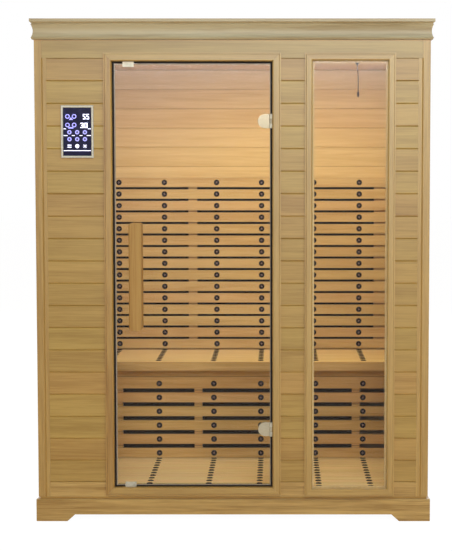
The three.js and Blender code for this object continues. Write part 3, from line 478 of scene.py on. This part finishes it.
def mesh_piece(name, build, materials, body):
    """A new piece whose mesh is filled by build(bm), riding on a body."""
    mesh = bpy.data.meshes.new(name)
    bm = bmesh.new()
    build(bm)
    bmesh.ops.recalc_face_normals(bm, faces=bm.faces)
    bm.to_mesh(mesh)
    bm.free()
    for material in materials:
        mesh.materials.append(material)
    piece = bpy.data.objects.new(name, mesh)
    bpy.context.scene.collection.objects.link(piece)
    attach(piece, body)


def join_rows(bm, lower, upper):
    """Faces between two closed rows of points, one after another."""
    count = len(lower)
    for corner in range(count):
        following = (corner + 1) % count
        yield bm.faces.new((lower[corner], lower[following], upper[following], upper[corner]))


def add_loft(bm, rings, material_of):
    """Closed rings of points joined in order, the first and the last closed by caps."""
    rows = [[bm.verts.new(point) for point in ring] for ring in rings]
    for index, (lower, upper) in enumerate(zip(rows, rows[1:])):
        for face in join_rows(bm, lower, upper):
            face.smooth = True
            face.material_index = material_of(index)
    for row, index in ((rows[0], 0), (rows[-1], len(rows) - 2)):
        face = bm.faces.new(row)
        face.material_index = material_of(index)


def add_hoop(bm, rings, material=0):
    """Closed rings of points joined in order, and the last one to the first."""
    rows = [[bm.verts.new(point) for point in ring] for ring in rings]
    for lower, upper in zip(rows, rows[1:] + rows[:1]):
        for face in join_rows(bm, lower, upper):
            face.material_index = material


def circle(centre, radius, first, second, sides):
    """Points round a centre in the plane of two unit vectors."""
    points = []
    for index in range(sides):
        angle = 2 * math.pi * index / sides
        points.append(centre + radius * (math.cos(angle) * first + math.sin(angle) * second))
    return points


def add_washer(bm, place, outward, upward):
    """A cup washer with a screw head in it, standing on a surface."""
    sideways = outward.cross(upward)
    rings = []
    for radius, height in WASHER_PROFILE_MM:
        centre = place + outward * height * MM
        rings.append(circle(centre, radius * MM, upward, sideways, WASHER_SIDES))
    head = sum(1 for radius, _ in WASHER_PROFILE_MM if radius * MM > WASHER_HEAD_RADIUS)
    add_loft(bm, rings, lambda index: 1 if index >= head - 1 else 0)


def washers(name, rows, outward, upward, materials):
    """Washers in every screw column. Each row is a depth and a height."""

    def build(bm):
        for x in SCREW_COLUMNS:
            for y, z in rows:
                add_washer(bm, Vector((x, y, z)), outward, upward)

    mesh_piece(name, build, materials, "cabin")


def add_plate(bm, centre, outline, lift, material=0):
    """A thin plate in front of a point, facing the front. The outline is (x, z) points in millimetres."""
    rows = []
    for height in (lift, lift + SYMBOL_THICKNESS):
        rows.append([centre + Vector((x * MM, -height, z * MM)) for x, z in outline])
    before = len(bm.faces)
    add_loft(bm, rows, lambda index: material)
    bm.faces.ensure_lookup_table()
    for face in bm.faces[before:]:
        face.smooth = False


def corners(x0, z0, x1, z1):
    return [(x0, z0), (x1, z0), (x1, z1), (x0, z1)]


def add_ring(bm, centre, radii, lift, material=0):
    """A flat ring in front of a point, facing the front."""
    outer, inner = radii
    rings = []
    for radius, height in ((outer, 0), (outer, SYMBOL_THICKNESS), (inner, SYMBOL_THICKNESS), (inner, 0)):
        rings.append(circle(centre + FORWARD * (lift + height), radius, RIGHT, UP, RING_SIDES))
    add_hoop(bm, rings, material)


def digit_bars(character, x, z, width, height, stroke):
    """The bars of a seven-segment digit with its lower left corner at (x, z)."""
    half = height / 2
    bars = {
        "a": (x, z + height - stroke, x + width, z + height),
        "b": (x + width - stroke, z + half, x + width, z + height - stroke),
        "c": (x + width - stroke, z + stroke, x + width, z + half),
        "d": (x, z, x + width, z + stroke),
        "e": (x, z + stroke, x + stroke, z + half),
        "f": (x, z + half, x + stroke, z + height - stroke),
        "g": (x + stroke, z + half - stroke / 2, x + width - stroke, z + half + stroke / 2),
    }
    return [bars[letter] for letter in DIGIT_SEGMENTS[character]]


# The frame, the camera and the cord come first

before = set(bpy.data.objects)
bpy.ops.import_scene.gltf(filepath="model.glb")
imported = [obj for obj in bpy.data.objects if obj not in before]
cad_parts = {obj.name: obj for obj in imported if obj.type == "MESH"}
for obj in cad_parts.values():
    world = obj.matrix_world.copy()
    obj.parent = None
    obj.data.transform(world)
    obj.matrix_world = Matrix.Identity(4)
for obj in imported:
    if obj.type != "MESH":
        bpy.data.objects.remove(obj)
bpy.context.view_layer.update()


def make_camera():
    data = bpy.data.cameras.new("camera")
    data.sensor_fit = "AUTO"
    data.sensor_width = SENSOR_MM
    data.lens = FOCAL_PIXELS * SENSOR_MM / IMAGE_HEIGHT
    data.shift_x = -PICTURE_SHIFT[0] / IMAGE_HEIGHT
    data.shift_y = PICTURE_SHIFT[1] / IMAGE_HEIGHT
    data.clip_end = VIEW_REACH
    camera = bpy.data.objects.new("camera", data)
    camera.location = EYE
    camera.rotation_euler = (math.radians(90 - TILT_DEGREES), 0, 0)
    bpy.context.scene.collection.objects.link(camera)
    bpy.context.scene.camera = camera


def spline_point(points, share):
    """A point on the smooth curve through the given points, by the share of the way."""
    place = share * (len(points) - 1)
    index = min(int(place), len(points) - 2)
    part = place - index
    before = points[max(index - 1, 0)]
    start, end = points[index], points[index + 1]
    after = points[min(index + 2, len(points) - 1)]
    return 0.5 * (
        2 * start
        + (end - before) * part
        + (2 * before - 5 * start + 4 * end - after) * part**2
        + (3 * start - before - 3 * end + after) * part**3
    )


def make_lead():
    """The sensor's lead, a round cord along its route."""
    route = [GLAND_FOOT + Vector(point) * MM for point in LEAD_ROUTE_MM]
    points = [spline_point(route, index / (LEAD_POINTS - 1)) for index in range(LEAD_POINTS)]
    data = bpy.data.curves.new("sensor_cord", "CURVE")
    data.dimensions = "3D"
    data.bevel_depth = LEAD_DIAMETER / 2
    data.bevel_resolution = LEAD_ROUNDNESS
    data.use_fill_caps = True
    spline = data.splines.new("POLY")
    spline.points.add(LEAD_POINTS - 1)
    for target, point in zip(spline.points, points):
        target.co = (*point, 1)
    data.materials.append(mottled("cable", CABLE_TONES, scale=400.0, roughness=0.7, specular=0.05))
    lead = bpy.data.objects.new("sensor_cord", data)
    bpy.context.scene.collection.objects.link(lead)
    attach(lead, "cabin")
    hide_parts("sensor_lead")
    length = sum((end - start).length for start, end in zip(points, points[1:]))
    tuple(points[0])


# Dressing of the model's nodes


def dress_wood():
    seat_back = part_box("bench_seat")[1].y
    fence_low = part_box("back_fence")[0].z - (BACK_SLAT_PITCH - SLAT_HEIGHT) / 2
    kick_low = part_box("floor_deck")[1].z + KICK_LIFT - (KICK_SLAT_PITCH - SLAT_HEIGHT) / 2
    outer_boards = ("z", BOARD_PITCH, BOTTOM_RAIL_TOP)
    back_boards = ("z", BOARD_PITCH, CEILING)
    ceiling_boards = ("y", BOARD_PITCH, INSIDE_JOINT)
    deck_slats = ("y", DECK_PITCH, INSIDE_JOINT)
    seat_slats = ("y", DECK_PITCH, seat_back)
    back_slats = ("z", BACK_SLAT_PITCH, fence_low)
    kick_slats = ("z", KICK_SLAT_PITCH, kick_low)
    front_panels = ["front_panel_left", "front_panel_middle", "front_panel_right"]
    side_panels = ["left_wall_panel", "right_wall_panel"]
    rows = [
        ("front_boards", OUTSIDE_TONES, "x", outer_boards, OUTSIDE_FINISH, front_panels),
        ("side_boards", OUTSIDE_TONES, "y", outer_boards, OUTSIDE_FINISH, side_panels),
        ("back_boards", INSIDE_TONES, "x", back_boards, BACK_FINISH, ["back_wall_panel"]),
        ("top_rail", TOP_RAIL_TONES, "x", None, OUTSIDE_FINISH, ["front_top_rail"]),
        ("rails", PLINTH_TONES, "x", None, OUTSIDE_FINISH, ["front_bottom_rail", "plinth_front"]),
        ("side_plinths", PLINTH_TONES, "y", None, OUTSIDE_FINISH, ["plinth_left", "plinth_right"]),
        ("posts", POST_TONES, "z", None, OUTSIDE_FINISH, ["corner_post_left", "corner_post_right"]),
        ("sheets", OUTSIDE_TONES, "x", None, OUTSIDE_FINISH, ["roof_panel", "floor_panel"]),
        ("upright_trim", TRIM_TONES, "z", None, TRIM_FINISH, ["door_casing_right"]),
        ("level_trim", TRIM_TONES, "x", None, TRIM_FINISH, ["door_casing_top", "door_casing_bottom"]),
        # The left casing's darker tones are painted shade
        ("left_trim_shaded", LEFT_CASING_SHADED_TONES, "z", None, TRIM_FINISH, ["door_casing_left"]),
        # The crown's pale grey tones hold painted sheen besides the wood's own colour
        ("front_crown_and_sheen", CROWN_AND_SHEEN_TONES, "x", None, CROWN_FINISH, ["crown_front"]),
        ("side_crowns_and_sheen", CROWN_AND_SHEEN_TONES, "y", None, CROWN_FINISH, ["crown_left", "crown_right"]),
        ("handles", HANDLE_TONES, "z", None, HANDLE_FINISH, ["handle_outer", "handle_inner"]),
        ("bead", INSIDE_TONES, "z", None, INSIDE_FINISH, ["window_bead"]),
        ("ceiling_boards", INSIDE_TONES, "x", ceiling_boards, INSIDE_FINISH, ["ceiling_panel"]),
        ("deck_slats", PALE_TONES, "x", deck_slats, INSIDE_FINISH, ["floor_deck"]),
        ("seat_slats", PALE_TONES, "x", seat_slats, INSIDE_FINISH, ["bench_seat"]),
        # The fascia and the kick fence take darker tones: painted shade under the seat
        ("fascia_wood_shaded", FASCIA_SHADED_TONES, "x", None, INSIDE_FINISH, ["bench_fascia"]),
        ("back_slats", FENCE_TONES, "x", back_slats, INSIDE_FINISH, ["back_fence"]),
        ("kick_slats", KICK_SHADED_TONES, "x", kick_slats, INSIDE_FINISH, ["bench_front_fence"]),
    ]
    made = {}
    for name, tones, grain, boards, finish, nodes in rows:
        made[name] = wood(name, tones, grain, boards, **finish)
        paint(nodes, made[name])
    paint_surround("window_casing", made["upright_trim"], made["level_trim"])
    door_casings = [f"door_casing_{side}" for side in ("left", "right", "top", "bottom")]
    soften(door_casings + ["window_casing"], CASING_EDGE)
    soften(["bench_seat", "bench_fascia", "back_fence", "bench_front_fence"], SLAT_EDGE)
    soften(["plinth_front", "plinth_left", "plinth_right"], PLINTH_EDGE)
    soften(["handle_outer", "handle_inner"], HANDLE_EDGE, HANDLE_SEGMENTS)


def dress_rest():
    clamps = ["hinge_clamp_top", "hinge_clamp_bottom"]
    brackets = ["hinge_bracket_top", "hinge_bracket_bottom"]
    strikes = ["strike_plate_top", "strike_plate_bottom"]
    heaters = ["back_heater_left", "back_heater_centre", "back_heater_right"]
    keys = [f"key_{index}" for index in range(1, KEYS + 1)]
    paint(["door_seal", "sensor_gland"],
          mottled("rubber", RUBBER_TONES, scale=220.0, roughness=0.75, specular=0.15))
    # The clamps' warm tint is a painted reflection of the wood around them
    paint(clamps,
          mottled("satin_steel_and_reflection", STEEL_AND_REFLECTION_TONES, scale=90.0, roughness=0.14, metallic=0.6, stretch=BRUSHED))
    paint(brackets + strikes,
          mottled("strike_steel", STRIKE_TONES, scale=90.0, roughness=0.4, metallic=0.15, specular=0.2))
    paint(heaters, mottled("heater", HEATER_TONES, scale=60.0, roughness=0.8, specular=0.1))
    paint(["calf_heater"], mottled("calf_heater", CALF_HEATER_TONES, scale=60.0, roughness=0.8, specular=0.1))
    paint(["power_box"], mottled("painted_steel", PAINTED_TONES, scale=400.0, roughness=0.45, bump=0.1))
    paint(["control_bezel"], mottled("silver", SILVER_TONES, scale=120.0, roughness=0.35))
    paint(["control_fascia"],
          mottled("black_gloss", BLACK_TONES, scale=40.0, roughness=0.12, specular=0.2, bump=0.0))
    paint(keys, mottled("key_cap", KEY_TONES, scale=200.0, roughness=0.3))
    paint(["sensor_probe"], mottled("probe", PROBE_TONES, scale=300.0, roughness=0.7, specular=0.05))
    paint(["door_glass", "window_glass"], clear_glass("clear_glass"))
    soften(clamps + strikes, PLATE_EDGE)
    soften(["control_bezel"], BEZEL_EDGE)
    soften(["power_box"], BOX_EDGE)


# Pieces of the scene alone


def make_washers():
    # The cups' dark tone is partly painted shade of the screw counterbores
    cup = mottled("washer", WASHER_AND_SHADE_TONES, scale=300.0, roughness=0.6, specular=0.15)
    head = mottled("screw_head", SCREW_TONES, scale=500.0, roughness=0.5, metallic=0.3)
    finish = [cup, head]
    fence_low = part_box("back_fence")[0]
    kick_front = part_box("bench_front_fence")[0].y
    seat_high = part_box("bench_seat")[1]
    deck_low, deck_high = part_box("floor_deck")
    back_first = fence_low.z + SLAT_HEIGHT / 2
    rows = [(fence_low.y, back_first + row * BACK_SLAT_PITCH) for row in range(BACK_SLATS)]
    washers("back_fence_screws", rows, FORWARD, UP, finish)
    kick_first = deck_high.z + KICK_LIFT + SLAT_HEIGHT / 2
    rows = [(kick_front, kick_first + row * KICK_SLAT_PITCH) for row in range(KICK_SLATS)]
    washers("kick_fence_screws", rows, FORWARD, UP, finish)
    rows = [(seat_high.y - (row + 0.5) * DECK_PITCH, seat_high.z) for row in range(SEAT_ROWS)]
    washers("seat_screws", rows, UP, BACKWARD, finish)
    slats_behind = math.ceil((INSIDE_JOINT - (kick_front - DECK_PITCH / 2)) / DECK_PITCH)
    deck_first = INSIDE_JOINT - slats_behind * DECK_PITCH + DECK_PITCH / 2
    rows = [(deck_first - row * DECK_PITCH, deck_high.z) for row in range(DECK_ROWS)]
    rows = [(y, z) for y, z in rows if y > deck_low.y + WASHER_MARGIN]
    washers("deck_screws", rows, UP, BACKWARD, finish)


def make_glass_edge_highlight():
    """A painted highlight: a pale opaque strip on the front of the door glass along its polished edge, for
    the light that edge catches.
    """
    low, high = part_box("door_glass")
    finish = mottled("painted_edge_highlight", EDGE_HIGHLIGHT_TONES, scale=200.0, roughness=0.2, specular=0.2)

    def build(bm):
        outer = corners(low.x, low.z, high.x, high.z)
        inner = corners(low.x + EDGE_LEFT, low.z + EDGE_BOTTOM, high.x - EDGE_RIGHT, high.z - EDGE_TOP)
        front = low.y - EDGE_LIFT
        rings = []
        for points, depth in ((outer, low.y), (outer, front), (inner, front), (inner, low.y)):
            rings.append([(x, depth, z) for x, z in points])
        add_hoop(bm, rings)

    mesh_piece("door_glass_edge_highlight", build, [finish], "door")


def front_middle(name):
    """The middle of a node's front face."""
    low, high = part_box(name)
    return Vector(((low.x + high.x) / 2, low.y, (low.z + high.z) / 2))


def make_display():
    white = glowing("display_white", LIT_WHITE, WHITE_GLOW)
    violet = glowing("display_violet", LIT_VIOLET, VIOLET_GLOW)
    middle = front_middle("control_fascia")

    def build(bm):
        for characters, lefts, foot, width, height, stroke in DIGIT_ROWS:
            for character, left in zip(characters, lefts):
                for bar in digit_bars(character, left, foot, width, height, stroke):
                    add_plate(bm, middle, corners(*bar), DISPLAY_LIFT, WHITE_PART)
        for x, z in RING_PLACES:
            add_ring(bm, middle + Vector((x * MM, 0, z * MM)), RING_RADII, DISPLAY_LIFT, VIOLET_PART)
        add_plate(bm, middle, POINTER, DISPLAY_LIFT, VIOLET_PART)
        add_plate(bm, middle, corners(*LINK_BAR), DISPLAY_LIFT, VIOLET_PART)
        for foot, stretches in LINES:
            for start, end in stretches:
                add_plate(bm, middle, corners(start, foot, end, foot + LINE_HEIGHT), DISPLAY_LIFT, WHITE_PART)

    mesh_piece("display_symbols", build, [white, violet], "cabin")
    for index in range(1, KEYS + 1):
        key_symbol(index, violet if index <= RING_KEYS else white)


def key_symbol(index, material):
    """The lit mark on a key: a ring, or two bars, a disc and a cross in the last row."""
    centre = front_middle(f"key_{index}")

    def build(bm):
        if index <= RING_KEYS:
            add_ring(bm, centre, KEY_RING_RADII, 0)
        elif index == BAR_KEY:
            for foot in KEY_BAR_FEET:
                add_plate(bm, centre, corners(-KEY_BAR_HALF, foot, KEY_BAR_HALF, foot + KEY_BAR_HEIGHT), 0)
        elif index == DISC_KEY:
            add_ring(bm, centre, KEY_DISC_RADII, 0)
        else:
            arm = corners(-CROSS_HALF, -CROSS_HALF_STROKE, CROSS_HALF, CROSS_HALF_STROKE)
            for turn in CROSS_TURNS:
                spin = Matrix.Rotation(math.radians(turn), 2)
                add_plate(bm, centre, [tuple(spin @ Vector(point)) for point in arm], 0)

    mesh_piece(f"key_symbol_{index}", build, [material], f"key_{index}")


# Stage


def surround_rays(tree):
    """One for the rays that show the white surround: from the eye, through glass and off gloss."""
    path = tree.nodes.new("ShaderNodeLightPath")
    seen = path.outputs["Is Camera Ray"]
    for other in ("Is Transmission Ray", "Is Glossy Ray"):
        either = tree.nodes.new("ShaderNodeMath")
        either.operation = "MAXIMUM"
        tree.links.new(seen, either.inputs[0])
        tree.links.new(path.outputs[other], either.inputs[1])
        seen = either.outputs[0]
    return seen


def make_floor():
    graph = Graph("studio_floor")
    cloud = graph.noise(graph.coordinates(), **FLOOR_NOISE)
    graph.link(two_tone(graph, cloud, FLOOR_STOPS, FLOOR_TONES), graph.shader.inputs["Base Color"])
    graph.set(Roughness=FLOOR_ROUGHNESS)
    glow = graph.node("ShaderNodeEmission")
    glow.inputs["Strength"].default_value = FLOOR_GLOW
    mix = graph.node("ShaderNodeMixShader")
    graph.link(graph.math("MULTIPLY", surround_rays(graph.tree), FLOOR_GLOW_SHARE), mix.inputs[0])
    graph.link(graph.shader.outputs[0], mix.inputs[1])
    graph.link(glow.outputs[0], mix.inputs[2])
    graph.link(mix.outputs[0], graph.tree.nodes["Material Output"].inputs["Surface"])
    mesh = bpy.data.meshes.new("studio_floor")
    outline = corners(-FLOOR_REACH, -FLOOR_REACH, FLOOR_REACH, FLOOR_REACH)
    mesh.from_pydata([(x, y, 0) for x, y in outline], [], [(0, 1, 2, 3)])
    mesh.materials.append(graph.material)
    floor = bpy.data.objects.new("studio_floor", mesh)
    floor.location.z = -FLOOR_DROP
    bpy.context.scene.collection.objects.link(floor)


def make_world():
    world = bpy.data.worlds.new("studio")
    bpy.context.scene.world = world
    world.use_nodes = True
    tree = world.node_tree
    ambient = tree.nodes["Background"]
    ambient.inputs["Color"].default_value = AMBIENT_COLOUR
    ambient.inputs["Strength"].default_value = AMBIENT_STRENGTH
    surround = tree.nodes.new("ShaderNodeBackground")
    surround.inputs["Color"].default_value = SURROUND_COLOUR
    surround.inputs["Strength"].default_value = SURROUND_STRENGTH
    mix = tree.nodes.new("ShaderNodeMixShader")
    tree.links.new(surround_rays(tree), mix.inputs[0])
    tree.links.new(ambient.outputs[0], mix.inputs[1])
    tree.links.new(surround.outputs[0], mix.inputs[2])
    tree.links.new(mix.outputs[0], tree.nodes["World Output"].inputs["Surface"])


def make_lamps():
    for name, place, target, size, power, colour in LAMPS:
        data = bpy.data.lights.new(name, "AREA")
        data.shape = "RECTANGLE"
        data.size, data.size_y = size
        data.energy = power
        data.color = colour
        lamp = bpy.data.objects.new(name, data)
        lamp.visible_camera = False
        lamp.visible_diffuse = name != GLOSS_ONLY_LAMP
        lamp.location = place
        direction = Vector(target) - Vector(place)
        lamp.rotation_euler = direction.to_track_quat("-Z", "Y").to_euler()
        bpy.context.scene.collection.objects.link(lamp)


bpy.context.scene.view_settings.view_transform = "Standard"
make_camera()
make_lead()
dress_wood()
dress_rest()
make_washers()
make_glass_edge_highlight()
make_display()
make_floor()
make_world()
make_lamps()
